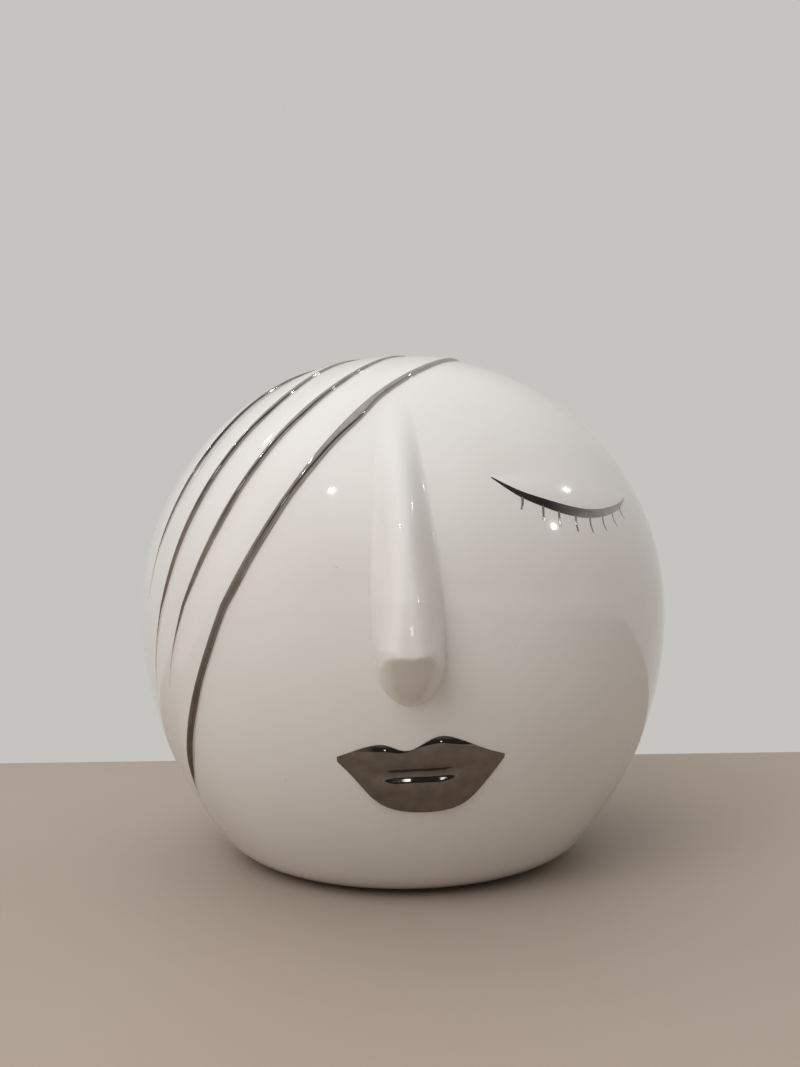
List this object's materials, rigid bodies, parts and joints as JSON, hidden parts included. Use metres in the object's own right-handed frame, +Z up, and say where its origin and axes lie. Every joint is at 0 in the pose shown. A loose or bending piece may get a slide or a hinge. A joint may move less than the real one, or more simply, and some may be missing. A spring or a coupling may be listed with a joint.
{
  "type": "face vase",
  "caption": "Round head-shaped glazed vase with a ridged nose, closed eye, full lips and swept locks of hair edged in platinum lustre; holds flowers through its top.",
  "frame": {"origin": "centre of the foot, in the plane that the vase stands on", "axes": "+Z up along the axis of the pot; the face looks along -Y, with its eye on the +X side"},
  "size_m": [0.28, 0.3008, 0.2606],
  "materials": {
    "white_glaze": "gloss white glaze, slightly warm",
    "platinum_lustre": "mirror platinum lustre fired over the glaze"
  },
  "bodies": {
    "root": {"vessel_body": "white_glaze", "nose": "white_glaze", "eyelid": "white_glaze", "hair_lock_1": "white_glaze", "hair_lock_2": "white_glaze", "hair_lock_3": "white_glaze", "hair_lock_4": "white_glaze", "upper_lip": "platinum_lustre", "lower_lip": "platinum_lustre", "lash_line": "platinum_lustre", "eyelash_1": "platinum_lustre", "eyelash_2": "platinum_lustre", "eyelash_3": "platinum_lustre", "eyelash_4": "platinum_lustre", "eyelash_5": "platinum_lustre", "eyelash_6": "platinum_lustre", "eyelash_7": "platinum_lustre", "eyelash_8": "platinum_lustre", "hair_strand_1": "platinum_lustre", "hair_strand_2": "platinum_lustre", "hair_strand_3": "platinum_lustre", "hair_strand_4": "platinum_lustre"}
  },
  "joints": []
}
